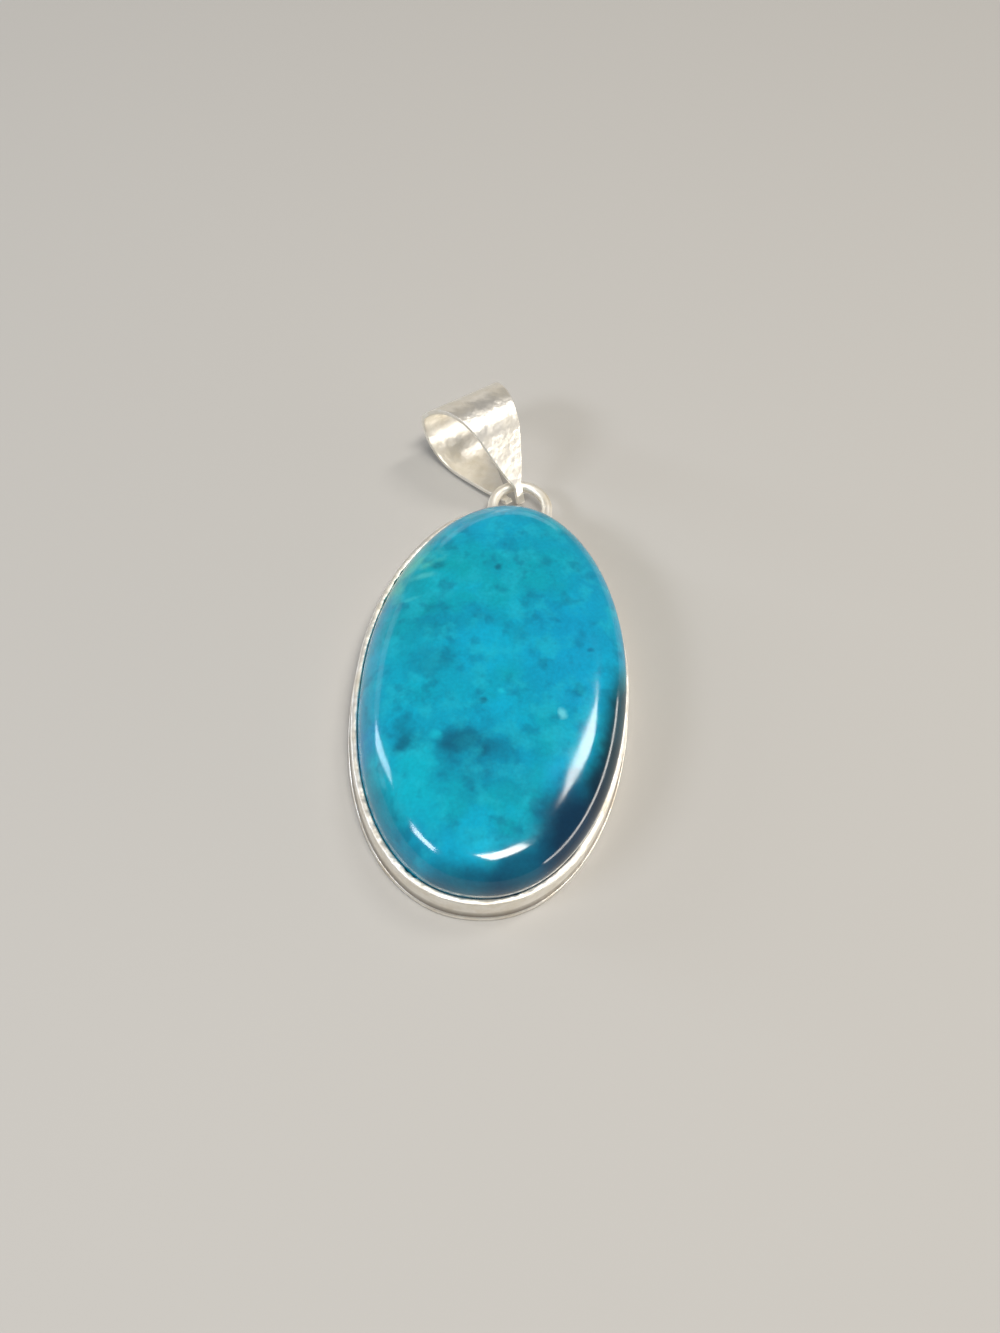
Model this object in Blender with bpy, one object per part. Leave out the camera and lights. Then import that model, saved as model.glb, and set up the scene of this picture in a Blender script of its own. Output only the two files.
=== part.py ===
"""Oval chrysocolla cabochon pendant, lying on its back with its bail laid back and leaning to the left.

Metres, +Z up. The origin is the centre of the back plate's underside, on the table, and +Y
points to the head of the pendant, where the ring and the bail are.
"""

import math

import bmesh
import bpy
from mathutils import Vector

MM = 0.001

# Oval of the setting: half width and half length to the middle of the wall's metal
HALF_WIDTH = 12.5 * MM
HALF_LENGTH = 20.85 * MM
HEAD_ROUNDNESS = 1.985
FOOT_ROUNDNESS = 2.15
OVAL_SEGMENTS = 88

GAP = 0.3 * MM

# Back plate: a sheet a little larger than the wall that stands on it
PLATE_THICKNESS = 0.7 * MM
PLATE_LEDGE = 0.56 * MM
PLATE_EDGE = 0.12 * MM

# Bezel wall: a strip on edge, its rim leaning a little over the stone
WALL_BASE = PLATE_THICKNESS + GAP
WALL_TOP = 3.14 * MM
WALL_HALF_THICKNESS = 0.25 * MM
WALL_LEAN = 0.08 * MM
WALL_LEAN_START = 2.3 * MM
WALL_ROUNDING = 0.1 * MM

# Stone: a flat base, a straight girdle inside the wall, a steep shoulder of one width all round
# and a low crown; it leans to one side as it climbs
GIRDLE_INSET = WALL_HALF_THICKNESS + GAP
GIRDLE_EDGE = 0.15 * MM
DOME_START = 3.0 * MM
SHOULDER_HEIGHT = 4.3 * MM
SHOULDER_WIDTH = 5.26 * MM
SHOULDER_ROUNDNESS = 3.0
SHOULDER_STEEPNESS = 2.5
CROWN_HEIGHT = 0.85 * MM
DOME_LEAN_X = 0.2
DOME_LEAN_Y = -0.16
DOME_STEPS = 9
STEP_CROWDING = 2.2
CROWN_RINGS = (0.7, 0.4, 0.12)

# Hanging ring: a U of round wire whose two feet stand on the wall's outer face
WIRE_RADIUS = 0.53 * MM
RING_RADIUS = 2.75 * MM
RING_CENTRE = Vector((0.905, 21.87, 2.17)) * MM
LEFT_FOOT_Y = 21.28 * MM
RIGHT_FOOT_Y = 20.76 * MM
RING_STEPS = 22

# Bail: one tapered strip, folded round and closed on the ring's wire by its two tips
EYE_ANGLE = math.radians(120)
EYE_RADIUS = 1.25 * MM
FOLD_RADIUS = 4.0 * MM
BAIL_REACH = 10.2 * MM
STRIP_THICKNESS = 0.45 * MM
STRIP_WIDTH = 8.9 * MM
TIP_WIDTH = 0.8 * MM
TAPER_END = 0.86
TAPER_POWER = 0.8
FRONT_TURN = math.radians(40)
FRONT_TONGUE = 1.5 * MM
FRONT_SKEW = 0.38 * MM
BACK_TURN = math.radians(70)
BACK_SKEW = -0.5 * MM
BAIL_PITCH = math.radians(21.5)
BAIL_TILT = math.radians(5.2)
BAIL_YAW = math.radians(40.9)
FOLD_STEPS = 13
LEAF_STEPS = 7
EYE_STEPS = 5
TONGUE_STEPS = 2
STRIP_COLUMNS = 6


def clear_scene():
    for leftover in list(bpy.data.objects):
        bpy.data.objects.remove(leftover, do_unlink=True)


def material(name, colour, roughness, metallic):
    made = bpy.data.materials.new(name)
    made.use_nodes = True
    shader = made.node_tree.nodes["Principled BSDF"]
    shader.inputs["Base Color"].default_value = (*colour, 1.0)
    shader.inputs["Roughness"].default_value = roughness
    shader.inputs["Metallic"].default_value = metallic
    return made


def add_object(name, mesh, finish):
    mesh.shade_smooth()
    mesh.set_sharp_from_angle(angle=math.radians(40))
    mesh.materials.append(finish)
    made = bpy.data.objects.new(name, mesh)
    bpy.context.scene.collection.objects.link(made)
    return made


def mesh_from(name, bm):
    bmesh.ops.recalc_face_normals(bm, faces=bm.faces[:])
    mesh = bpy.data.meshes.new(name)
    bm.to_mesh(mesh)
    bm.free()
    return mesh


def oval_point(angle, offset, shrink=1.0):
    """A point on the setting's oval, moved out square to it by offset and then shrunk to the centre."""
    cosine = math.cos(angle)
    sine = math.sin(angle)
    roundness = HEAD_ROUNDNESS if sine > 0 else FOOT_ROUNDNESS
    x = HALF_WIDTH * math.copysign(abs(cosine) ** (2 / roundness), cosine)
    y = HALF_LENGTH * math.copysign(abs(sine) ** (2 / roundness), sine)
    slope_x = math.copysign(abs(x / HALF_WIDTH) ** (roundness - 1), x) / HALF_WIDTH
    slope_y = math.copysign(abs(y / HALF_LENGTH) ** (roundness - 1), y) / HALF_LENGTH
    length = math.hypot(slope_x, slope_y)
    return Vector(((x + offset * slope_x / length) * shrink, (y + offset * slope_y / length) * shrink, 0))


def place_on_oval(vertices, offset, height, shrink=1.0, lean=(0.0, 0.0), crown=0.0):
    """Puts a ring of vertices on the oval, by each one's own angle, the crown rising to the middle."""
    for vertex in vertices:
        angle = math.atan2(vertex.co.y, vertex.co.x)
        flat = oval_point(angle, offset, shrink)
        rise = crown * (1 - (flat.x / HALF_WIDTH) ** 2 - (flat.y / HALF_LENGTH) ** 2)
        vertex.co = flat + Vector((lean[0], lean[1], height + rise))


def oval_solid(levels):
    """A solid stood up from an oval face, one extrusion a level; a level is place_on_oval's arguments."""
    bm = bmesh.new()
    corners = bmesh.ops.create_circle(bm, cap_ends=True, segments=OVAL_SEGMENTS, radius=1.0)["verts"]
    face = corners[0].link_faces[0]
    directions = [vertex.co.copy() for vertex in face.verts]
    place_on_oval(face.verts, *levels[0])
    for level in levels[1:]:
        grown = bmesh.ops.extrude_face_region(bm, geom=[face, *face.edges, *face.verts])
        face = next(item for item in grown["geom"] if isinstance(item, bmesh.types.BMFace))
        for vertex, direction in zip(face.verts, directions):
            vertex.co = direction
        place_on_oval(face.verts, *level)
    return bm


def dome_level(inward, shrink=1.0):
    """One level of the dome: inward goes from 0 at the girdle to 1 at the end of the shoulder."""
    climb = SHOULDER_HEIGHT * (1 - (1 - inward) ** SHOULDER_ROUNDNESS) ** (1 / SHOULDER_STEEPNESS)
    offset = -GIRDLE_INSET - WALL_LEAN - SHOULDER_WIDTH * inward
    lean = (DOME_LEAN_X * climb, DOME_LEAN_Y * climb)
    return (offset, DOME_START + climb, shrink, lean, CROWN_HEIGHT)


def build_stone():
    levels = [
        (-GIRDLE_INSET - GIRDLE_EDGE, WALL_BASE),
        (-GIRDLE_INSET, WALL_BASE + GIRDLE_EDGE),
        (-GIRDLE_INSET, WALL_LEAN_START),
    ]
    # The levels crowd together at the girdle, where the dome climbs most steeply
    levels += [dome_level((step / DOME_STEPS) ** STEP_CROWDING) for step in range(DOME_STEPS + 1)]
    levels += [dome_level(1.0, shrink) for shrink in CROWN_RINGS]
    mesh = mesh_from("cabochon", oval_solid(levels))
    return add_object("cabochon", mesh, material("chrysocolla", (0.0, 0.33, 0.46), 0.08, 0.0))


def build_plate(silver):
    levels = [
        (PLATE_LEDGE - PLATE_EDGE, 0.0),
        (PLATE_LEDGE, PLATE_EDGE),
        (PLATE_LEDGE, PLATE_THICKNESS - PLATE_EDGE),
        (PLATE_LEDGE - PLATE_EDGE, PLATE_THICKNESS),
    ]
    return add_object("back_plate", mesh_from("back_plate", oval_solid(levels)), silver)


def build_wall(silver):
    """The wall's section spun into a round hoop, whose points are then moved out to the oval."""
    lip_outer = WALL_HALF_THICKNESS - WALL_LEAN
    lip_inner = -WALL_HALF_THICKNESS - WALL_LEAN
    section = [
        (WALL_HALF_THICKNESS, WALL_BASE),
        (WALL_HALF_THICKNESS, WALL_LEAN_START),
        (lip_outer, WALL_TOP - WALL_ROUNDING),
        (lip_outer - WALL_ROUNDING, WALL_TOP),
        (lip_inner + WALL_ROUNDING, WALL_TOP),
        (lip_inner, WALL_TOP - WALL_ROUNDING),
        (-WALL_HALF_THICKNESS, WALL_LEAN_START),
        (-WALL_HALF_THICKNESS, WALL_BASE),
    ]
    bm = bmesh.new()
    corners = [bm.verts.new((HALF_WIDTH + offset, 0, height)) for offset, height in section]
    edges = [bm.edges.new((corner, corners[number - 1])) for number, corner in enumerate(corners)]
    bmesh.ops.spin(
        bm, geom=corners + edges, axis=(0, 0, 1), angle=math.tau, steps=OVAL_SEGMENTS, use_merge=True
    )
    for vertex in bm.verts:
        offset = math.hypot(vertex.co.x, vertex.co.y) - HALF_WIDTH
        place_on_oval([vertex], offset, vertex.co.z)
    return add_object("bezel_wall", mesh_from("bezel_wall", bm), silver)


def build_ring(silver):
    """The wire's middle line: up the left leg, round half a turn and down the right leg."""
    route = [Vector((RING_CENTRE.x - RING_RADIUS, LEFT_FOOT_Y, RING_CENTRE.z))]
    for step in range(RING_STEPS + 1):
        angle = math.pi - math.pi * step / RING_STEPS
        route.append(RING_CENTRE + Vector((math.cos(angle), math.sin(angle), 0)) * RING_RADIUS)
    route.append(Vector((RING_CENTRE.x + RING_RADIUS, RIGHT_FOOT_Y, RING_CENTRE.z)))
    curve = bpy.data.curves.new("hanging_ring", "CURVE")
    curve.dimensions = "3D"
    spline = curve.splines.new("POLY")
    spline.points.add(len(route) - 1)
    for point, place in zip(spline.points, route):
        point.co = (*place, 1.0)
    curve.bevel_depth = WIRE_RADIUS
    curve.bevel_resolution = 3
    curve.use_fill_caps = True
    curve.materials.append(silver)
    ring = bpy.data.objects.new("hanging_ring", curve)
    bpy.context.scene.collection.objects.link(ring)
    return ring


def leaf_path(eye_turn, tongue):
    """(distance, up, out) of the strip's middle from the top of the fold to a tip, in the bail's own plane.

    The wire runs through the plane's origin. The fold is an arc, a straight run touches the fold
    and the eye, the eye is an arc round the wire, and a straight tongue may follow it.
    """
    fold_up = BAIL_REACH - FOLD_RADIUS
    slant = math.asin((FOLD_RADIUS - EYE_RADIUS) / fold_up)
    path = []
    for step in range(FOLD_STEPS + 1):
        angle = math.pi / 2 - (math.pi / 2 + slant) * step / FOLD_STEPS
        path.append((fold_up + FOLD_RADIUS * math.sin(angle), FOLD_RADIUS * math.cos(angle)))
    fold_end = path[-1]
    eye_start = (-EYE_RADIUS * math.sin(slant), EYE_RADIUS * math.cos(slant))
    for step in range(1, LEAF_STEPS + 1):
        share = step / LEAF_STEPS
        path.append(tuple(a + (b - a) * share for a, b in zip(fold_end, eye_start)))
    for step in range(1, EYE_STEPS + 1):
        angle = slant + (eye_turn - slant) * step / EYE_STEPS
        path.append((-EYE_RADIUS * math.sin(angle), EYE_RADIUS * math.cos(angle)))
    if tongue:
        last = path[-1]
        for step in range(1, TONGUE_STEPS + 1):
            reach = tongue * step / TONGUE_STEPS
            path.append((last[0] - reach * math.cos(eye_turn), last[1] - reach * math.sin(eye_turn)))
    distance = 0.0
    measured = []
    for number, place in enumerate(path):
        if number > 0:
            distance += math.dist(place, path[number - 1])
        measured.append((distance, *place))
    return measured


def strip_half_width(distance, whole):
    taper = max(0.0, 1 - distance / (TAPER_END * whole))
    return TIP_WIDTH / 2 + (STRIP_WIDTH - TIP_WIDTH) / 2 * taper**TAPER_POWER


def build_bail(silver):
    """A flat grid of the strip, laid along the folded path and given its thickness by Solidify."""
    front = leaf_path(FRONT_TURN, FRONT_TONGUE)
    back = leaf_path(BACK_TURN, 0.0)
    whole = front[-1][0]
    rows = [(distance, up, -out, BACK_SKEW, back[-1][0]) for distance, up, out in reversed(back[1:])]
    rows += [(distance, up, out, FRONT_SKEW, whole) for distance, up, out in front]
    bm = bmesh.new()
    bmesh.ops.create_grid(bm, x_segments=STRIP_COLUMNS, y_segments=len(rows) - 1, size=1.0)
    for vertex in bm.verts:
        across = vertex.co.x
        row = rows[round((vertex.co.y + 1) / 2 * (len(rows) - 1))]
        distance, up, out, skew, reach = row
        sideways = across * strip_half_width(distance, whole) + skew * distance / reach
        vertex.co = (sideways, up, out)
    bail = add_object("bail", mesh_from("bail", bm), silver)
    thickness = bail.modifiers.new("sheet thickness", "SOLIDIFY")
    thickness.thickness = STRIP_THICKNESS
    thickness.offset = 0.0
    thickness.use_even_offset = True
    reach = Vector((math.cos(EYE_ANGLE), math.sin(EYE_ANGLE), 0)) * RING_RADIUS
    bail.location = RING_CENTRE + reach
    bail.rotation_euler = (BAIL_PITCH, BAIL_TILT, BAIL_YAW)
    return bail


def main():
    clear_scene()
    silver = material("sterling_silver", (0.93, 0.91, 0.86), 0.18, 1.0)
    build_plate(silver)
    build_wall(silver)
    build_stone()
    build_ring(silver)
    build_bail(silver)


main()
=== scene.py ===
"""Chrysocolla cabochon pendant, lying on its back with its bail laid back and leaning to the left.

An oval blue-green stone sits in a wall of silver strip on a silver plate. A ring of round wire is
soldered to the head of the wall, and a tapered strip folded round it is the bail for a chain.
"""

import math

import bmesh
import bpy
from mathutils import Euler, Matrix, Vector, noise


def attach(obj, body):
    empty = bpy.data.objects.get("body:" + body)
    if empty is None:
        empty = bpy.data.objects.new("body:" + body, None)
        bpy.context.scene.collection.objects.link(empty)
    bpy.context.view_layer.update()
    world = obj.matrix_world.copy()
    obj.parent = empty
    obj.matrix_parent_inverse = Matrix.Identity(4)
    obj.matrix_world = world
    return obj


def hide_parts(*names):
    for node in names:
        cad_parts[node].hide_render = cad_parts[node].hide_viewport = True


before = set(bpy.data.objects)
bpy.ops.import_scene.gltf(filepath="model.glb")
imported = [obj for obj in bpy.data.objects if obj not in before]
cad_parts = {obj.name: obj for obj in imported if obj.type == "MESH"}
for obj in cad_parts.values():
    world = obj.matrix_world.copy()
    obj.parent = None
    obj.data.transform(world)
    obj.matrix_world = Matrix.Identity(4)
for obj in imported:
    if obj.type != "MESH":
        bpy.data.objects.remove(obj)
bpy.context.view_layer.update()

# Camera
# The pendant is seen from above its foot, from 13 cm away, with the camera a little rolled. The place
# and the turns were worked out from the rim's outline, the wall's height and the stone's far outline.

MM = 0.001
CAMERA_PLACE = Vector((-0.7256, -63.9729, 115.8208)) * MM
CAMERA_ELEVATION = math.radians(59.44)
CAMERA_HEADING = math.radians(1.06)
CAMERA_ROLL = math.radians(7.0)
SENSOR_WIDTH = 36.0
IMAGE_WIDTH_PX = 1000
FOCAL_LENGTH_PX = 1400
NEAREST_SEEN = 10 * MM

camera_data = bpy.data.cameras.new("camera")
camera_data.sensor_fit = "HORIZONTAL"
camera_data.sensor_width = SENSOR_WIDTH
camera_data.lens = SENSOR_WIDTH * FOCAL_LENGTH_PX / IMAGE_WIDTH_PX
camera_data.clip_start = NEAREST_SEEN
camera = bpy.data.objects.new("camera", camera_data)
camera.matrix_world = (
    Matrix.Translation(CAMERA_PLACE)
    @ Matrix.Rotation(-CAMERA_HEADING, 4, "Z")
    @ Matrix.Rotation(math.pi / 2 - CAMERA_ELEVATION, 4, "X")
    @ Matrix.Rotation(CAMERA_ROLL, 4, "Z")
)
bpy.context.scene.collection.objects.link(camera)
bpy.context.scene.camera = camera

# Back plate
# The real one is a sheet of sterling silver, sawn to an oval a little larger than the wall that is
# soldered on it, its edge filed and rubbed round by hand.

# The oval runs along the middle of the wall's metal; a roundness of 2 is an ellipse, more is squarer
HALF_WIDTH = 12.5 * MM
HALF_LENGTH = 20.85 * MM
HEAD_ROUNDNESS = 1.985
FOOT_ROUNDNESS = 2.15
PLATE_THICKNESS = 0.7 * MM
PLATE_LEDGE = 0.56 * MM
PLATE_STEPS = 288
# The plate's edge from the underside up, as (inset, height)
PLATE_LEVELS = [
    (0.22 * MM, 0.0),
    (0.07 * MM, 0.05 * MM),
    (0.0, 0.18 * MM),
    (0.0, 0.5 * MM),
    (0.05 * MM, 0.63 * MM),
    (0.16 * MM, PLATE_THICKNESS),
]
# The file took the edge back by a share of the depth of its own waves
FILING_DEPTH = 0.035 * MM
FILING_LENGTH = 3.5 * MM
FILED_BACK = 0.8
# Tarnish lies in patches about 2 mm across, and dulls the metal by a little roughness
TARNISH_PATCHES_PER_MM = 0.45
TARNISH_ROUGHNESS = 0.14
CLEAN_SILVER = "#FAF7F0"
# Painted shade in the corner where strip and plate meet is at full strength up to this height in mm
FOOT_SHADE_START = 0.75
FOOT_SHADE_STRENGTH = 0.8
FOOT_SHADE_COLOUR = "#7C7266"


def oval_point(angle, offset):
    """A point on the oval along the middle of the wall's metal, moved out square to it by offset."""
    cosine = math.cos(angle)
    sine = math.sin(angle)
    roundness = HEAD_ROUNDNESS if sine > 0 else FOOT_ROUNDNESS
    x = HALF_WIDTH * math.copysign(abs(cosine) ** (2 / roundness), cosine)
    y = HALF_LENGTH * math.copysign(abs(sine) ** (2 / roundness), sine)
    slope_x = math.copysign(abs(x / HALF_WIDTH) ** (roundness - 1), x) / HALF_WIDTH
    slope_y = math.copysign(abs(y / HALF_LENGTH) ** (roundness - 1), y) / HALF_LENGTH
    length = math.hypot(slope_x, slope_y)
    return Vector((x + offset * slope_x / length, y + offset * slope_y / length, 0))


def stand_up(steps, levels, place):
    """A solid stood up from a capped circle by one extrusion a level, with each point of it put where
    place(angle, level) says."""
    bm = bmesh.new()
    corners = bmesh.ops.create_circle(bm, cap_ends=True, segments=steps, radius=1.0)["verts"]
    face = corners[0].link_faces[0]
    angles = [math.atan2(corner.co.y, corner.co.x) for corner in face.verts]
    for number, level in enumerate(levels):
        if number > 0:
            grown = bmesh.ops.extrude_face_region(bm, geom=[face, *face.edges, *face.verts])
            face = next(item for item in grown["geom"] if isinstance(item, bmesh.types.BMFace))
        for corner, angle in zip(face.verts, angles):
            corner.co = place(angle, level)
    bmesh.ops.recalc_face_normals(bm, faces=bm.faces[:])
    return bm


def piece_from(name, bm, material, smooth_under=50):
    """A finished piece at the origin, made of bm, with edges sharper than so many degrees left sharp."""
    mesh = bpy.data.meshes.new(name)
    bm.to_mesh(mesh)
    bm.free()
    mesh.shade_smooth()
    mesh.set_sharp_from_angle(angle=math.radians(smooth_under))
    mesh.materials.append(material)
    piece = bpy.data.objects.new(name, mesh)
    bpy.context.scene.collection.objects.link(piece)
    return piece


def colour(hex_value):
    """An sRGB hex colour, such as "#A0B0C0", as the linear values that shaders take."""
    channels = [int(hex_value[place : place + 2], 16) / 255 for place in (1, 3, 5)]
    linear = [c / 12.92 if c <= 0.04045 else ((c + 0.055) / 1.055) ** 2.4 for c in channels]
    return (*linear, 1.0)


def add_node(tree, kind, settings=None, inputs=None):
    """A node of a kind, with its properties set and each input given a value or linked to a socket."""
    node = tree.nodes.new(kind)
    for key, value in (settings or {}).items():
        setattr(node, key, value)
    for key, value in (inputs or {}).items():
        if isinstance(value, bpy.types.NodeSocket):
            tree.links.new(value, node.inputs[key])
        else:
            node.inputs[key].default_value = value
    return node


def millimetres(tree):
    """The place on the piece in millimetres, which every pattern's size is given in."""
    place = add_node(tree, "ShaderNodeTexCoord").outputs["Object"]
    scaled = add_node(tree, "ShaderNodeVectorMath", {"operation": "SCALE"}, {0: place, "Scale": 1 / MM})
    return scaled.outputs["Vector"]


def silver(
    name,
    polish,
    scratch_run,
    scratch_spacing,
    scratch_depth,
    dent_size,
    dent_depth,
    tarnish,
    foot_shade_top=None,
):
    """Sterling silver: warm white metal, rubbed bright, with fine scratches along one way and a breath of
    yellow-grey tarnish in patches. The eye sees soft-edged reflections that break up along the scratches.

    polish is the roughness where the metal is cleanest. scratch_run draws the scratches out along the
    axes where it is small. The last argument, if given, is the height below which painted shade darkens the
    metal, in the corner where the strip meets the plate. All sizes are in millimetres.
    """
    material = bpy.data.materials.new(name)
    material.use_nodes = True
    tree = material.node_tree
    shader = tree.nodes["Principled BSDF"]
    shader.inputs["Metallic"].default_value = 1.0
    place = millimetres(tree)

    # Patches a few millimetres wide, where the metal is duller and yellower
    patches = add_node(
        tree,
        "ShaderNodeTexNoise",
        inputs={"Vector": place, "Scale": TARNISH_PATCHES_PER_MM, "Detail": 4.0, "Roughness": 0.6},
    )
    dulled = add_node(
        tree,
        "ShaderNodeMapRange",
        inputs={"Value": patches.outputs["Fac"], "From Min": 0.42, "From Max": 0.75},
    )
    tint = add_node(
        tree,
        "ShaderNodeMix",
        {"data_type": "RGBA"},
        {"Factor": dulled.outputs["Result"], "A": colour(CLEAN_SILVER), "B": colour(tarnish)},
    )
    metal_colour = tint.outputs["Result"]
    roughness = add_node(
        tree,
        "ShaderNodeMapRange",
        inputs={
            "Value": patches.outputs["Fac"],
            "From Min": 0.3,
            "From Max": 0.75,
            "To Min": polish,
            "To Max": polish + TARNISH_ROUGHNESS,
        },
    )
    tree.links.new(roughness.outputs["Result"], shader.inputs["Roughness"])

    # Painted shade, grey, low down in the corner where strip and plate meet
    if foot_shade_top is not None:
        height = add_node(tree, "ShaderNodeSeparateXYZ", inputs={"Vector": place})
        foot_shade = add_node(
            tree,
            "ShaderNodeMapRange",
            inputs={
                "Value": height.outputs["Z"],
                "From Min": FOOT_SHADE_START,
                "From Max": foot_shade_top,
                "To Min": FOOT_SHADE_STRENGTH,
                "To Max": 0.0,
            },
        )
        foot_shaded = add_node(
            tree,
            "ShaderNodeMix",
            {"data_type": "RGBA"},
            {"Factor": foot_shade.outputs["Result"], "A": metal_colour, "B": colour(FOOT_SHADE_COLOUR)},
        )
        metal_colour = foot_shaded.outputs["Result"]
    tree.links.new(metal_colour, shader.inputs["Base Color"])

    # Scratches, drawn out along their run; real ones are finer than a render shows, so these are coarser
    run = add_node(tree, "ShaderNodeMapping", inputs={"Vector": place, "Scale": scratch_run})
    scratches = add_node(
        tree,
        "ShaderNodeTexNoise",
        inputs={"Vector": run.outputs["Vector"], "Scale": 1 / scratch_spacing, "Detail": 3.0},
    )
    dents = add_node(
        tree,
        "ShaderNodeTexNoise",
        inputs={"Vector": place, "Scale": 1 / dent_size, "Detail": 2.0},
    )
    relief = add_node(
        tree,
        "ShaderNodeMath",
        {"operation": "MULTIPLY_ADD"},
        {0: dents.outputs["Fac"], 1: dent_depth / scratch_depth, 2: scratches.outputs["Fac"]},
    )
    bump = add_node(
        tree,
        "ShaderNodeBump",
        inputs={"Height": relief.outputs["Value"], "Strength": 1.0, "Distance": scratch_depth * MM},
    )
    tree.links.new(bump.outputs["Normal"], shader.inputs["Normal"])
    return material


def plate_place(angle, level):
    """A point of the plate's edge, which the file left wandering by a few hundredths of a millimetre."""
    inset, height = level
    wander = noise.noise(oval_point(angle, 0) / FILING_LENGTH) - FILED_BACK
    return oval_point(angle, PLATE_LEDGE - inset + FILING_DEPTH * wander) + Vector((0, 0, height))


plate_silver = silver(
    "rolled silver sheet, filed edge",
    polish=0.3,
    scratch_run=(1.0, 0.15, 1.0),
    scratch_spacing=0.12,
    scratch_depth=0.006,
    dent_size=1.4,
    dent_depth=0.02,
    tarnish="#DDD2BE",
)
plate = piece_from("back_plate_sheet", stand_up(PLATE_STEPS, PLATE_LEVELS, plate_place), plate_silver)
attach(plate, "pendant")
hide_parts("back_plate")

# Bezel wall
# A strip of soft silver on edge, bent round the stone and soldered end to end and down to the plate. Its
# rim was pushed over the stone and burnished, which left it bright, a little wavy and nicked.

WALL_STEPS = 432
WALL_TOP = 3.14 * MM
# The strip's section, as (distance out from the oval, height) in mm: up the outside from the fillet of
# solder at its foot, over the rim that leans on the stone, and down the inside
WALL_SECTION = [
    (0.50, 0.66),
    (0.40, 0.76),
    (0.29, 0.92),
    (0.25, 1.15),
    (0.25, 1.90),
    (0.25, 2.60),
    (0.245, 2.90),
    (0.21, 3.05),
    (0.11, 3.12),
    (-0.08, 3.14),
    (-0.25, 3.13),
    (-0.33, 3.08),
    (-0.345, 2.94),
    (-0.33, 2.60),
    (-0.28, 2.10),
    (-0.26, 0.66),
]
# Waves in the strip, which shift on their way up, and whose inner side the stone nearly holds still
WAVE_DEPTH = 0.045 * MM
WAVE_LENGTH = 2.6 * MM
WAVE_SHIFT = 1.3
HELD_BY_STONE = 0.15
# Finer waves up and down along the rim, which die out quickly below it
RIM_WAVE_DEPTH = 0.03 * MM
RIM_WAVE_FINENESS = 1.7
RIM_WAVE_POWER = 4
RIM_WAVE_START = Vector((7.1, 0, 0))
# The strip's end lies over its beginning at the lower right and is filed away to nothing behind that.
# The step shrinks towards the foot of the wall, where solder fills it
LAP_ANGLE = math.radians(317)
LAP_THICKNESS = 0.16 * MM
LAP_FADE = math.radians(34)
LAP_AT_FOOT = 0.2
# Nicks in the rim's inner side, as (angle round the oval in degrees, depth in mm)
RIM_NICKS = [
    (144.5, 0.12),
    (148.1, 0.15),
    (155.3, 0.14),
    (243.8, 0.16),
    (247.0, 0.1),
    (311.0, 0.08),
    (287.0, 0.07),
]
NICK_WIDTH = math.radians(0.7)
NICKED_ABOVE = 0.8
NICKED_INSIDE = -0.05 * MM


def turn_between(angle, other):
    """The turn from the other angle to this one, from minus half a turn to half a turn."""
    return (angle - other + math.pi) % math.tau - math.pi


def worn(angle, offset, height):
    """The strip as it was worked: wavy, lapped over its own end at the foot, and nicked at the rim."""
    along = oval_point(angle, 0) / WAVE_LENGTH
    rise = height / WALL_TOP
    loose = 1.0 if offset > 0 else HELD_BY_STONE
    moved = offset + loose * WAVE_DEPTH * rise * noise.noise(along + Vector((0, 0, WAVE_SHIFT * rise)))
    behind_lap = -turn_between(angle, LAP_ANGLE)
    if 0 <= behind_lap < LAP_FADE and offset > 0:
        moved += LAP_THICKNESS * (1 - behind_lap / LAP_FADE) ** 2 * min(1.0, rise + LAP_AT_FOOT)
    if offset < NICKED_INSIDE and rise > NICKED_ABOVE:
        for place, depth in RIM_NICKS:
            away = turn_between(angle, math.radians(place)) / NICK_WIDTH
            moved += depth * MM * math.exp(-away * away)
    rim_wave = noise.noise(along * RIM_WAVE_FINENESS + RIM_WAVE_START)
    top = height + RIM_WAVE_DEPTH * rise**RIM_WAVE_POWER * rim_wave
    return oval_point(angle, moved) + Vector((0, 0, min(top, WALL_TOP)))


wall = bmesh.new()
corners = [wall.verts.new((HALF_WIDTH + out * MM, 0, up * MM)) for out, up in WALL_SECTION]
edges = [wall.edges.new((corner, corners[number - 1])) for number, corner in enumerate(corners)]
bmesh.ops.spin(wall, geom=corners + edges, axis=(0, 0, 1), angle=math.tau, steps=WALL_STEPS, use_merge=True)
for vertex in wall.verts:
    around = math.atan2(vertex.co.y, vertex.co.x)
    outward = math.hypot(vertex.co.x, vertex.co.y) - HALF_WIDTH
    vertex.co = worn(around, outward, vertex.co.z)
bmesh.ops.recalc_face_normals(wall, faces=wall.faces[:])
wall_silver = silver(
    "burnished silver strip",
    polish=0.45,
    scratch_run=(0.3, 0.3, 1.6),
    scratch_spacing=0.1,
    scratch_depth=0.008,
    dent_size=1.3,
    dent_depth=0.2,
    tarnish="#E6DECE",
    # Painted shade low on the wall, by the plate, fading out at this height in mm
    foot_shade_top=1.4,
)
bezel = piece_from("bezel_strip", wall, wall_silver, smooth_under=80)
smoothing = bezel.modifiers.new("burnished round", "SUBSURF")
smoothing.levels = 1
smoothing.render_levels = 1
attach(bezel, "pendant")
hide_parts("bezel_wall")

# Stone
# Chrysocolla cut as a cabochon: flat below, a steep shoulder all round and a low crown, ground and
# polished to a wet gloss. It is held only by the rim of the wall, and the crown leans a little to the
# right and to the foot.

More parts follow.
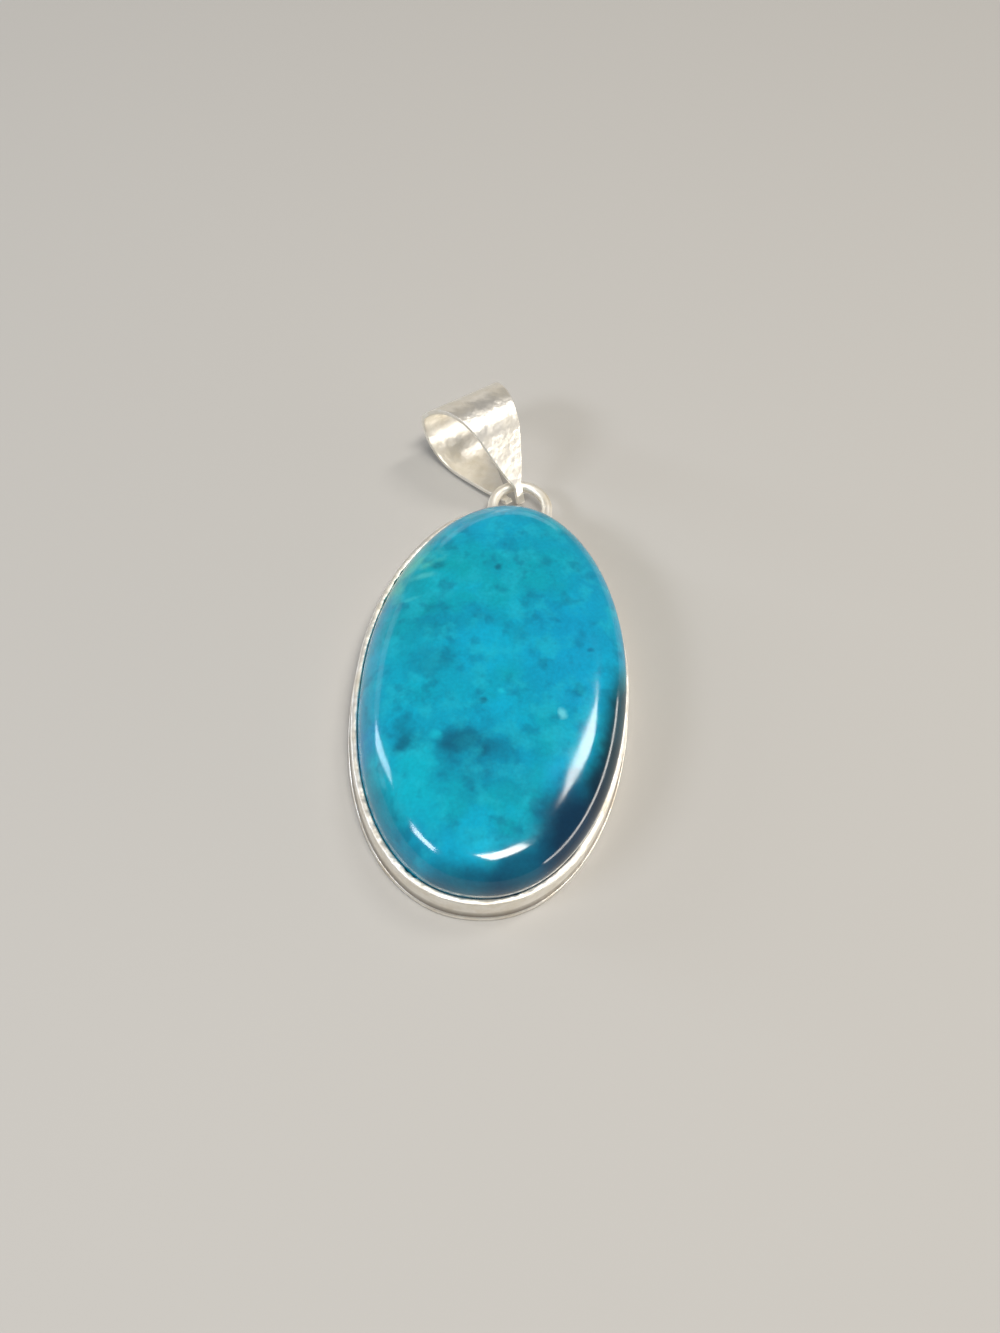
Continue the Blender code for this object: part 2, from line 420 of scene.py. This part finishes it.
STONE_STEPS = 288
STONE_BASE = 0.75 * MM
STONE_CHAMFER = 0.25 * MM
STONE_INSET = 0.36 * MM
DOME_START = 3.0 * MM
GIRDLE_TOP = 0.7 * DOME_START
SHOULDER_HEIGHT = 4.3 * MM
SHOULDER_WIDTH = 5.5 * MM
SHOULDER_ROUNDNESS = 3.0
SHOULDER_STEEPNESS = 2.5
SHOULDER_LEVELS = 44
SHOULDER_CROWDING = 1.5
CROWN_HEIGHT = 0.85 * MM
CROWN_LEVELS = 16
# The last ring of the crown is this share of the way to its middle, and a flat face closes it
CROWN_REACH = 0.97
DOME_LEAN = Vector((0.2, -0.16, 0))
# The polisher's slow waves, which make the highlights waver
POLISH_WAVE = 0.018 * MM
POLISH_WAVE_LENGTH = 4.0 * MM


def dome_place(angle, level):
    """A point of the stone's surface: level gives how far in from the girdle it is, from 0 through 1 at
    the end of the shoulder to 2 at the middle of the crown."""
    inward = min(level, 1.0) ** SHOULDER_CROWDING
    drawn_in = 1.0 - max(level - 1.0, 0.0)
    climb = SHOULDER_HEIGHT * (1 - (1 - inward) ** SHOULDER_ROUNDNESS) ** (1 / SHOULDER_STEEPNESS)
    flat = oval_point(angle, -STONE_INSET - SHOULDER_WIDTH * inward) * drawn_in
    reach = math.hypot(flat.x / (HALF_WIDTH - STONE_INSET), flat.y / (HALF_LENGTH - STONE_INSET))
    crown = CROWN_HEIGHT * (1 - reach * reach)
    wave = POLISH_WAVE * noise.noise(flat / POLISH_WAVE_LENGTH) * min(1.0, climb / SHOULDER_HEIGHT)
    return flat + DOME_LEAN * climb + Vector((0, 0, DOME_START + climb + crown + wave))


def stone_place(angle, level):
    """Below the dome, levels are (inset, height) of the girdle; on it they are single numbers."""
    if isinstance(level, tuple):
        inset, height = level
        return oval_point(angle, -STONE_INSET - inset) + Vector((0, 0, height))
    return dome_place(angle, level)


stone_levels = [(STONE_CHAMFER, STONE_BASE), (0.0, STONE_BASE + STONE_CHAMFER), (0.0, GIRDLE_TOP)]
stone_levels += [step / SHOULDER_LEVELS for step in range(SHOULDER_LEVELS + 1)]
stone_levels += [1 + CROWN_REACH * step / CROWN_LEVELS for step in range(1, CROWN_LEVELS + 1)]

# Chrysocolla grown through with chalcedony, which takes a high polish. The eye sees an opaque blue-green
# with clouds, spots and one dark corner in it, with painted shade at its foot and painted sheen and glow at
# its edges and highlights, under a clear gloss that mirrors each light sharply
chrysocolla = bpy.data.materials.new("polished chrysocolla")
chrysocolla.use_nodes = True
stone_tree = chrysocolla.node_tree
stone_shader = stone_tree.nodes["Principled BSDF"]
stone_place_mm = millimetres(stone_tree)

# The patches' edges wander by a millimetre or so, as mineral growth does
WANDER_SIZE = 2.5
AREA_WANDER = 6.0
MARK_WANDER = 1.4
wander = add_node(
    stone_tree,
    "ShaderNodeTexNoise",
    inputs={"Vector": stone_place_mm, "Scale": 1 / WANDER_SIZE, "Detail": 3.0, "Roughness": 0.5},
)
wander_from_middle = add_node(
    stone_tree,
    "ShaderNodeVectorMath",
    {"operation": "SUBTRACT"},
    {0: wander.outputs["Color"], 1: (0.5, 0.5, 0.5)},
)


def wandering(reach):
    """The place on the stone, moved about sideways by a noise that spans reach, in mm."""
    moved = add_node(
        stone_tree,
        "ShaderNodeVectorMath",
        {"operation": "MULTIPLY_ADD"},
        {0: wander_from_middle.outputs["Vector"], 1: (reach, reach, 0.0), 2: stone_place_mm},
    )
    return moved.outputs["Vector"]


wandering_far = wandering(AREA_WANDER)
wandering_near = wandering(MARK_WANDER)


def cloud(under, tone, size, low, high, strength, seed):
    """Lays a tone over the colour under it by a noise with grains of that size, in mm: it fades in, up to
    its full strength, as the noise rises from low to high."""
    offset = add_node(
        stone_tree,
        "ShaderNodeVectorMath",
        {"operation": "ADD"},
        {0: stone_place_mm, 1: (seed, seed, 0)},
    )
    grain = add_node(
        stone_tree,
        "ShaderNodeTexNoise",
        inputs={"Vector": offset.outputs["Vector"], "Scale": 1 / size, "Detail": 3.0, "Roughness": 0.5},
    )
    mask = add_node(
        stone_tree,
        "ShaderNodeMapRange",
        {"interpolation_type": "SMOOTHSTEP"},
        {
            "Value": grain.outputs["Fac"],
            "From Min": low,
            "From Max": high,
            "To Min": 0.0,
            "To Max": strength,
        },
    )
    mixed = add_node(
        stone_tree,
        "ShaderNodeMix",
        {"data_type": "RGBA"},
        {"Factor": mask.outputs["Result"], "A": under, "B": colour(tone)},
    )
    return mixed.outputs["Result"]


# A patch goes right through the stone, so its radius in height is as good as endless, in mm
THROUGH_STONE = 1000


def patch(wandered, core, under, tone, centre, radii, turn, strength):
    """Lays one patch of a tone over the colour under it: an ellipse in mm with a wandering soft edge, at
    full strength out to the share core of its radius."""
    across = add_node(
        stone_tree,
        "ShaderNodeMapping",
        {"vector_type": "TEXTURE"},
        {
            "Vector": wandered,
            "Location": (*centre, 0),
            "Rotation": (0, 0, math.radians(turn)),
            "Scale": (*radii, THROUGH_STONE),
        },
    )
    far = add_node(
        stone_tree,
        "ShaderNodeVectorMath",
        {"operation": "LENGTH"},
        {0: across.outputs["Vector"]},
    )
    mask = add_node(
        stone_tree,
        "ShaderNodeMapRange",
        {"interpolation_type": "SMOOTHSTEP"},
        {
            "Value": far.outputs["Value"],
            "From Min": core,
            "From Max": 1.0,
            "To Min": strength,
            "To Max": 0.0,
        },
    )
    mixed = add_node(
        stone_tree,
        "ShaderNodeMix",
        {"data_type": "RGBA"},
        {"Factor": mask.outputs["Result"], "A": under, "B": colour(tone)},
    )
    return mixed.outputs["Result"]


# Clouds all through the stone: (tone, grain size in mm, low, high, strength, seed)
STONE_BLUE = "#00A3C8"
STONE_CLOUDS = [
    ("#00B2B8", 9.0, 0.45, 0.65, 0.5, 3.0),
    ("#00B6DE", 6.0, 0.48, 0.68, 0.7, 21.0),
    ("#0086A8", 3.0, 0.53, 0.75, 0.5, 40.0),
]
# Broad areas, the last two a painted reflection down the left edge: (tone, centre, radii, turn in degrees,
# strength), in mm on the stone seen from above
AREA_CORE = 0.15
STONE_AREAS_AND_SHEENS = [
    ("#00C2D6", (-5.4, -12.2), (5.6, 6.4), 0, 0.72),
    ("#00C4D4", (-8.5, -3.0), (4.0, 7.0), 0, 0.25),
    ("#00B8D4", (-4.0, -4.5), (5.5, 3.5), 30, 0.35),
    ("#009ED0", (7.0, 4.0), (6.0, 13.0), 0, 0.5),
    ("#00ACA8", (-7.5, 6.0), (4.5, 9.0), -20, 0.45),
    ("#0088AC", (-0.6, -11.4), (5.4, 3.4), 0, 0.55),
    ("#007898", (-0.8, -8.4), (5.4, 3.0), 10, 0.8),
    ("#00BCE2", (-1.0, 16.6), (3.4, 2.6), 0, 0.6),
    ("#007694", (-6.9, -8.4), (3.0, 2.6), 0, 0.7),
    ("#0084A2", (-5.5, 3.2), (4.0, 2.0), 35, 0.45),
    ("#0090B0", (-5.6, -0.8), (3.2, 2.4), 0, 0.5),
    ("#60D2C0", (-9.4, 10.4), (2.6, 5.6), -28, 0.75),
    # Painted sheen: a pale blue reflection down the left edge, then a painted blue reflection at its lower
    # end
    ("#44BCD8", (-11.0, 0.5), (1.5, 8.0), -6, 0.3),
    ("#1C8CC8", (-10.8, -8.0), (1.3, 4.4), 10, 0.4),
]
# Small marks, dark and pale, in the same form, with a painted glint and two painted glows round highlights
STONE_MARKS_AND_GLOWS = [
    ("#006484", (-2.8, -8.2), (1.3, 1.0), 20, 0.7),
    ("#006080", (-0.2, -8.9), (0.9, 0.8), 0, 0.7),
    ("#005F80", (-0.7, -4.2), (0.6, 0.5), 0, 0.8),
    ("#006A86", (-0.6, 10.6), (0.6, 0.5), 0, 0.8),
    ("#007488", (-6.4, 10.1), (1.1, 0.8), 0, 0.7),
    ("#007084", (-7.5, 11.0), (0.8, 0.7), 0, 0.5),
    ("#006A84", (-7.3, -8.8), (1.0, 1.3), 0, 0.6),
    ("#006C90", (7.7, -1.9), (0.8, 0.6), 0, 0.6),
    ("#006C94", (8.6, 2.7), (0.5, 0.5), 0, 0.6),
    # Painted glint: a small cyan-white highlight on the crown
    ("#7CE4F4", (6.4, -4.2), (0.5, 0.75), 0, 0.85),
    ("#18CCE6", (1.0, -3.0), (0.6, 0.6), 0, 0.7),
    ("#10C8E0", (-4.4, -7.8), (0.8, 0.7), 0, 0.7),
    ("#4CC8D0", (-7.4, 8.9), (1.7, 0.5), 8, 0.75),
    ("#40C4CE", (-8.6, 6.4), (1.3, 0.45), 6, 0.65),
    ("#10C4D8", (-0.5, 11.9), (1.0, 0.7), 0, 0.5),
    # Painted glow beside the highlight on the right shoulder, then one at the left end of the highlight at
    # the foot
    ("#18BCF0", (6.6, -10.0), (2.0, 3.6), -25, 0.45),
    ("#20CCEC", (1.4, -17.3), (2.8, 1.1), 12, 0.6),
]
# Mottling one to two millimetres across, pale and dark, in the form of the clouds
STONE_MOTTLES = [
    ("#1CC0D8", 2.2, 0.46, 0.68, 0.5, 61.0),
    ("#006C8E", 1.7, 0.5, 0.74, 0.45, 80.0),
]
# The dark band along the foot is painted shade on the steep shoulder facing the eye. The dark corner at the
# lower right and the dark line up the right side are the stone's own navy with painted dark reflection over
# it.
# These, the deeper edge at the lower left and the dark patch below the middle hardly wander and are dark
# further out, in the form of the areas
DARK_CORE = 0.45
STONE_DARKS_AND_SHADE = [
    # Painted shade: the dark band along the stone's foot
    ("#006080", (-1.0, -21.3), (9.5, 3.1), 0, 0.8),
    # The dark corner at the lower right and the line up the right side: own navy with painted dark
    # reflection
    ("#00486A", (4.8, -19.8), (5.6, 4.2), 18, 0.85),
    ("#004E74", (8.8, -14.2), (5.2, 7.0), -28, 0.8),
    ("#002E4C", (9.3, -15.2), (4.8, 5.8), -30, 0.95),
    ("#00263C", (11.3, -9.6), (3.0, 5.6), -12, 0.95),
    ("#02303F", (12.1, -4.8), (2.9, 7.8), 0, 0.92),
    ("#00708C", (-8.4, -15.4), (2.5, 7.2), 30, 0.5),
    ("#006484", (-2.4, -8.2), (2.3, 1.7), 15, 0.6),
    ("#007092", (1.2, -8.4), (2.2, 1.7), 0, 0.4),
    ("#0086A6", (-5.8, -0.4), (2.8, 2.0), 0, 0.4),
]
stone_colour = colour(STONE_BLUE)
for settings in STONE_CLOUDS:
    stone_colour = cloud(stone_colour, *settings)
for settings in STONE_AREAS_AND_SHEENS:
    stone_colour = patch(wandering_far, AREA_CORE, stone_colour, *settings)
for settings in STONE_MARKS_AND_GLOWS:
    stone_colour = patch(wandering_near, AREA_CORE, stone_colour, *settings)
for settings in STONE_MOTTLES:
    stone_colour = cloud(stone_colour, *settings)
for settings in STONE_DARKS_AND_SHADE:
    stone_colour = patch(wandering_near, DARK_CORE, stone_colour, *settings)

# A fine grain, which darkens the whole by a little more or less
GRAINS_PER_MM = 3.0
GRAIN_DARK = 0.69
GRAIN_PALE = 0.79
grain = add_node(
    stone_tree,
    "ShaderNodeTexNoise",
    inputs={"Vector": stone_place_mm, "Scale": GRAINS_PER_MM, "Detail": 3.0},
)
grain_tone = add_node(
    stone_tree,
    "ShaderNodeMapRange",
    inputs={
        "Value": grain.outputs["Fac"],
        "From Min": 0.3,
        "From Max": 0.7,
        "To Min": GRAIN_DARK,
        "To Max": GRAIN_PALE,
    },
)
grained = add_node(
    stone_tree,
    "ShaderNodeVectorMath",
    {"operation": "SCALE"},
    {0: stone_colour, "Scale": grain_tone.outputs["Result"]},
)
stone_tree.links.new(grained.outputs["Vector"], stone_shader.inputs["Base Color"])

# A wet gloss, dulled very slightly in patches; chrysocolla in chalcedony refracts at about 1.5
DULL_PATCHES_PER_MM = 0.6
BEST_GLOSS = 0.07
WORST_GLOSS = 0.15
gloss = add_node(
    stone_tree,
    "ShaderNodeTexNoise",
    inputs={"Vector": stone_place_mm, "Scale": DULL_PATCHES_PER_MM, "Detail": 6.0},
)
stone_roughness = add_node(
    stone_tree,
    "ShaderNodeMapRange",
    inputs={
        "Value": gloss.outputs["Fac"],
        "From Min": 0.3,
        "From Max": 0.7,
        "To Min": BEST_GLOSS,
        "To Max": WORST_GLOSS,
    },
)
stone_tree.links.new(stone_roughness.outputs["Result"], stone_shader.inputs["Roughness"])
stone_shader.inputs["IOR"].default_value = 1.5

stone = piece_from("polished_cabochon", stand_up(STONE_STEPS, stone_levels, stone_place), chrysocolla)
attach(stone, "pendant")
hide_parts("cabochon")

# Hanging ring
# Round silver wire, drawn through a plate, bent to a U and left a little dull. Its two feet are soldered
# to the head of the wall, each in a small fillet of solder.

WIRE_RADIUS = 0.53 * MM
WIRE_SIDES = 32
RING_RADIUS = 2.75 * MM
RING_CENTRE = Vector((0.905, 21.87, 2.17)) * MM
RING_STEPS = 48
RIGHT_FOOT_Y = 20.38 * MM
LEFT_FOOT_Y = 20.88 * MM
# The solder's spread as (distance from the foot, added radius), in mm
SOLDER_SPREAD = [(0.0, 0.42), (0.1, 0.27), (0.22, 0.13), (0.38, 0.04), (0.55, 0.0)]

ring = bmesh.new()
right_end = Matrix.Translation(RING_CENTRE + Vector((RING_RADIUS, 0, 0)))
section = bmesh.ops.create_circle(
    ring,
    cap_ends=False,
    segments=WIRE_SIDES,
    radius=WIRE_RADIUS,
    matrix=right_end @ Matrix.Rotation(math.pi / 2, 4, "X"),
)["verts"]
first_loop = list({edge for vertex in section for edge in vertex.link_edges})
turned = bmesh.ops.spin(
    ring, geom=section + first_loop, cent=RING_CENTRE, axis=(0, 0, 1), angle=math.pi, steps=RING_STEPS
)
last_loop = [item for item in turned["geom_last"] if isinstance(item, bmesh.types.BMEdge)]


def add_leg(loop, x, foot_y):
    """Draws one leg out from the bend to its foot, which the solder spreads on to the wall."""
    middle = Vector((x, 0, RING_CENTRE.z))
    for distance, added in reversed(SOLDER_SPREAD):
        grown = bmesh.ops.extrude_edge_only(ring, edges=loop)["geom"]
        loop = [item for item in grown if isinstance(item, bmesh.types.BMEdge)]
        middle.y = foot_y + distance * MM
        for vertex in {vertex for edge in loop for vertex in edge.verts}:
            spoke = Vector((vertex.co.x - middle.x, 0, vertex.co.z - middle.z)).normalized()
            vertex.co = middle + spoke * (WIRE_RADIUS + added * MM)
    bmesh.ops.contextual_create(ring, geom=loop)


add_leg(first_loop, RING_CENTRE.x + RING_RADIUS, RIGHT_FOOT_Y)
add_leg(last_loop, RING_CENTRE.x - RING_RADIUS, LEFT_FOOT_Y)
bmesh.ops.recalc_face_normals(ring, faces=ring.faces[:])
ring_silver = silver(
    "drawn silver wire",
    polish=0.46,
    scratch_run=(1.0, 1.0, 1.0),
    scratch_spacing=0.35,
    scratch_depth=0.01,
    dent_size=1.0,
    dent_depth=0.02,
    tarnish="#E8E0CE",
)
wire = piece_from("hanging_wire", ring, ring_silver)
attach(wire, "pendant")
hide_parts("hanging_ring")

# Bail
# One strip of silver sheet, widest in the middle and tapered to both tips, folded round to a teardrop
# and closed on the ring by its tips, which lie side by side inside the ring. It hangs there loose.

STRIP_THICKNESS = 0.42 * MM
STRIP_WIDTH = 8.9 * MM
TIP_WIDTH = 0.8 * MM
# The taper ends at this share of the way to the tip; a power under 1 keeps the middle full
TAPER_END = 0.86
TAPER_POWER = 0.8
EYE_RADIUS = 1.25 * MM
FOLD_RADIUS = 4.0 * MM
BAIL_REACH = 10.2 * MM
# How far each leaf turns round the wire, and how far its tip is off to one side
FRONT_TURN = math.radians(40)
FRONT_TONGUE = 1.5 * MM
FRONT_SKEW = 0.38 * MM
BACK_TURN = math.radians(70)
BACK_SKEW = -0.5 * MM
# Where the bail sits on the ring, and how it lies
EYE_ANGLE = math.radians(120)
BAIL_TURN = Euler((math.radians(21.5), math.radians(5.2), math.radians(40.9)))
FOLD_STEPS = 44
LEAF_STEPS = 20
EYE_STEPS = 12
TONGUE_STEPS = 5
STRIP_COLUMNS = 22
EDGE_ROUNDING = 0.19 * MM


def leaf_path(eye_turn, tongue):
    """(distance, up, out) of the strip's middle from the top of the fold to a tip, in the bail's own plane.

    The wire runs through the plane's origin. The fold is an arc, a straight run touches the fold
    and the eye, the eye is an arc round the wire, and a straight tongue may follow it.
    """
    fold_up = BAIL_REACH - FOLD_RADIUS
    slant = math.asin((FOLD_RADIUS - EYE_RADIUS) / fold_up)
    path = []
    for step in range(FOLD_STEPS + 1):
        angle = math.pi / 2 - (math.pi / 2 + slant) * step / FOLD_STEPS
        path.append((fold_up + FOLD_RADIUS * math.sin(angle), FOLD_RADIUS * math.cos(angle)))
    fold_end = path[-1]
    eye_start = (-EYE_RADIUS * math.sin(slant), EYE_RADIUS * math.cos(slant))
    for step in range(1, LEAF_STEPS + 1):
        share = step / LEAF_STEPS
        path.append(tuple(a + (b - a) * share for a, b in zip(fold_end, eye_start)))
    for step in range(1, EYE_STEPS + 1):
        angle = slant + (eye_turn - slant) * step / EYE_STEPS
        path.append((-EYE_RADIUS * math.sin(angle), EYE_RADIUS * math.cos(angle)))
    if tongue:
        last = path[-1]
        for step in range(1, TONGUE_STEPS + 1):
            reach = tongue * step / TONGUE_STEPS
            path.append((last[0] - reach * math.cos(eye_turn), last[1] - reach * math.sin(eye_turn)))
    distance = 0.0
    measured = []
    for number, place in enumerate(path):
        if number > 0:
            distance += math.dist(place, path[number - 1])
        measured.append((distance, *place))
    return measured


def strip_half_width(distance, whole):
    """Half the strip's width at a distance from the top of the fold, where whole is the way to its tip."""
    taper = max(0.0, 1 - distance / (TAPER_END * whole))
    return TIP_WIDTH / 2 + (STRIP_WIDTH - TIP_WIDTH) / 2 * taper**TAPER_POWER


# Rows across the strip from the back tip over the fold to the front tip
front = leaf_path(FRONT_TURN, FRONT_TONGUE)
back = leaf_path(BACK_TURN, 0.0)
front_length = front[-1][0]
back_length = back[-1][0]
strip_rows = [(distance, up, -out, BACK_SKEW, back_length) for distance, up, out in reversed(back[1:])]
strip_rows += [(distance, up, out, FRONT_SKEW, front_length) for distance, up, out in front]

strip = bmesh.new()
bmesh.ops.create_grid(strip, x_segments=STRIP_COLUMNS, y_segments=len(strip_rows) - 1, size=1.0)
for vertex in strip.verts:
    distance, up, out, skew, reach = strip_rows[round((vertex.co.y + 1) / 2 * (len(strip_rows) - 1))]
    sideways = vertex.co.x * strip_half_width(distance, front_length) + skew * distance / reach
    vertex.co = (sideways, up, out)
eye_place = RING_CENTRE + Vector((math.cos(EYE_ANGLE), math.sin(EYE_ANGLE), 0)) * RING_RADIUS
bail_place = Matrix.Translation(eye_place) @ BAIL_TURN.to_matrix().to_4x4()
bmesh.ops.transform(strip, matrix=bail_place, verts=strip.verts)
bmesh.ops.recalc_face_normals(strip, faces=strip.faces[:])
bail_silver = silver(
    "folded silver sheet",
    polish=0.36,
    scratch_run=(1.0, 0.4, 1.0),
    scratch_spacing=0.25,
    scratch_depth=0.01,
    dent_size=1.2,
    dent_depth=0.12,
    tarnish="#ECE6D8",
)
bail = piece_from("bail_strip", strip, bail_silver, smooth_under=60)
thickness = bail.modifiers.new("sheet thickness", "SOLIDIFY")
thickness.thickness = STRIP_THICKNESS
thickness.offset = 0.0
thickness.use_even_offset = True
rounding = bail.modifiers.new("rubbed edges", "BEVEL")
rounding.width = EDGE_ROUNDING
rounding.segments = 3
rounding.limit_method = "ANGLE"
rounding.angle_limit = math.radians(50)
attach(bail, "bail")
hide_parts("bail")

# Floor
# A plain board with matt pale paint, for the pendant to lie on: the eye sees soft shadows on it and no
# gloss. It ends short of the low lights, and is no part of the object.

FLOOR_HALF_SIZE = 360 * MM

floor_bm = bmesh.new()
bmesh.ops.create_grid(floor_bm, x_segments=1, y_segments=1, size=FLOOR_HALF_SIZE)
floor_paint = bpy.data.materials.new("matt pale board")
floor_paint.use_nodes = True
floor_shader = floor_paint.node_tree.nodes["Principled BSDF"]
floor_shader.inputs["Base Color"].default_value = colour("#B4B2AE")
floor_shader.inputs["Roughness"].default_value = 0.7
floor = piece_from("floor", floor_bm, floor_paint)

# Light
# Soft boxes in a dim, pale room. overhead gives the glint at the stone's foot, right_back the one on its
# right shoulder, left_low and left_front the two on the left, and right_low the thin line by the right
# edge. The last two are faint and lift the silver.

LIGHT_DISTANCE = 420 * MM
# (name, the place on the pendant it is aimed at in mm, direction from there, direction of the long side,
# length and width in m, radiance, colour)
SOFT_BOXES = [
    ("overhead", (0, -17.5, 7), (0.15, -0.14, 0.97), (0.7, 0.75, 0.0), (0.18, 0.08), 27.0, "#FFFAF2"),
    ("right_back", (8, -7.5, 7), (0.38, 0.38, 0.85), (0.24, 0.16, -0.18), (0.115, 0.06), 17.5, "#FFFAF4"),
    ("left_low", (-9, -9.5, 6), (-0.93, 0.2, 0.3), (0.07, -0.15, 0.33), (0.19, 0.05), 10.0, "#E4F0FF"),
    ("left_front", (-4.5, -17, 6), (-0.7, -0.32, 0.62), (0.24, -0.3, 0.14), (0.14, 0.07), 18.0, "#F2F6FF"),
    ("right_low", (-2, 26, 5), (0.98, -0.1, 0.065), (0.1, 0.98, 0.0), (0.5, 0.055), 10.5, "#FFF9F0"),
    ("left_fill", (-10, 5, 3), (-0.92, 0.36, 0.14), (0.36, 0.92, 0.0), (0.34, 0.1), 0.75, "#F4F6FF"),
    ("back_low", (-4, 30, 8), (-0.1, 0.98, 0.14), (1.0, 0.0, 0.0), (0.4, 0.11), 0.8, "#FFF6E8"),
]
for name, target, direction, long_side, size, radiance, tint in SOFT_BOXES:
    light_data = bpy.data.lights.new(name, "AREA")
    light_data.shape = "RECTANGLE"
    light_data.size = size[0]
    light_data.size_y = size[1]
    light_data.energy = radiance * math.pi * size[0] * size[1]
    light_data.color = colour(tint)[:3]
    light = bpy.data.objects.new(name, light_data)
    aim = Vector(direction).normalized()
    side = Vector(long_side)
    side = (side - aim * side.dot(aim)).normalized()
    axes = Matrix((side, aim.cross(side), aim)).transposed().to_4x4()
    light.matrix_world = Matrix.Translation(Vector(target) * MM + aim * LIGHT_DISTANCE) @ axes
    bpy.context.scene.collection.objects.link(light)

room = bpy.data.worlds.new("room")
room.use_nodes = True
room.node_tree.nodes["Background"].inputs["Color"].default_value = colour("#F4F1EC")
room.node_tree.nodes["Background"].inputs["Strength"].default_value = 0.26
bpy.context.scene.world = room
bpy.context.scene.view_settings.view_transform = "Standard"
